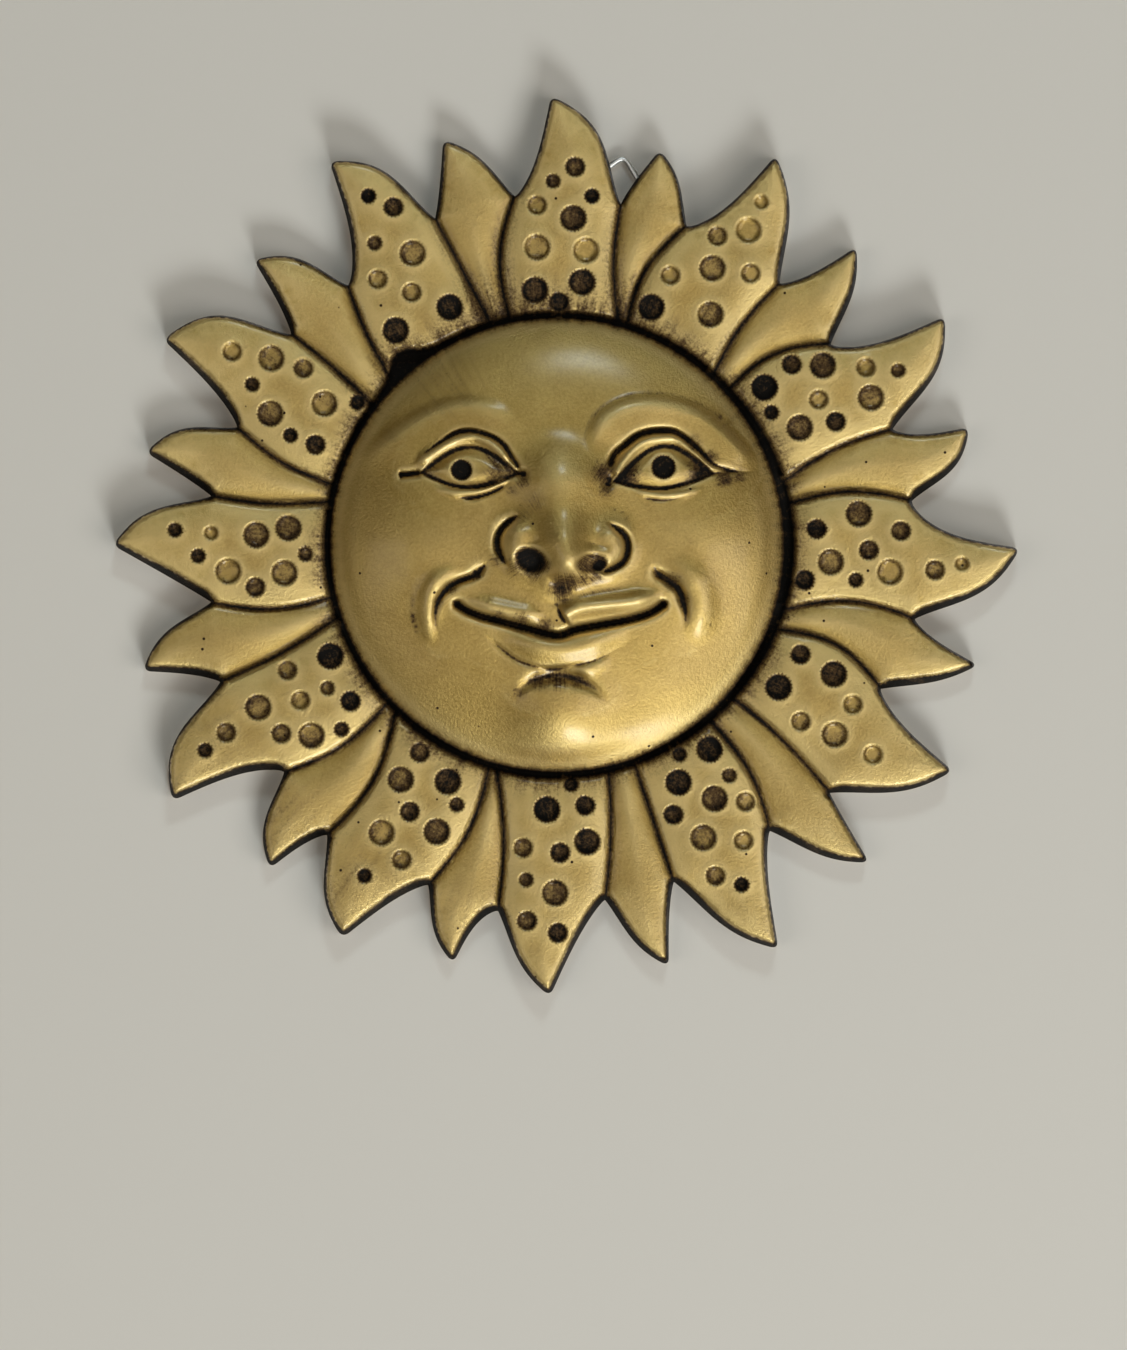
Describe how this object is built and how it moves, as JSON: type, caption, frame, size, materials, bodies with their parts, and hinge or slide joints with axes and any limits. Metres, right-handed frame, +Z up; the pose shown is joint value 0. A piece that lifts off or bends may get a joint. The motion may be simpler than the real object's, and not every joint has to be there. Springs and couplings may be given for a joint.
{
  "type": "sun face wall plaque",
  "caption": "Round cast wall plaque of a smiling sun face ringed by dotted and plain pointed rays, with a wire loop at the back to hang it by.",
  "frame": {"origin": "middle of the face, on the flat back that lies against the wall", "axes": "+Y into the wall, +Z up as it hangs, +X to the right of someone who looks at it"},
  "size_m": [0.1408, 0.018, 0.1396],
  "materials": {
    "antique_gold": "cast resin or plaster in worn antique gold paint, dark brown stain in the hollows, satin gloss",
    "steel_wire": "bright drawn steel wire"
  },
  "bodies": {
    "root": {"sun_plaque": "antique_gold", "hanging_loop": "steel_wire"}
  },
  "joints": []
}
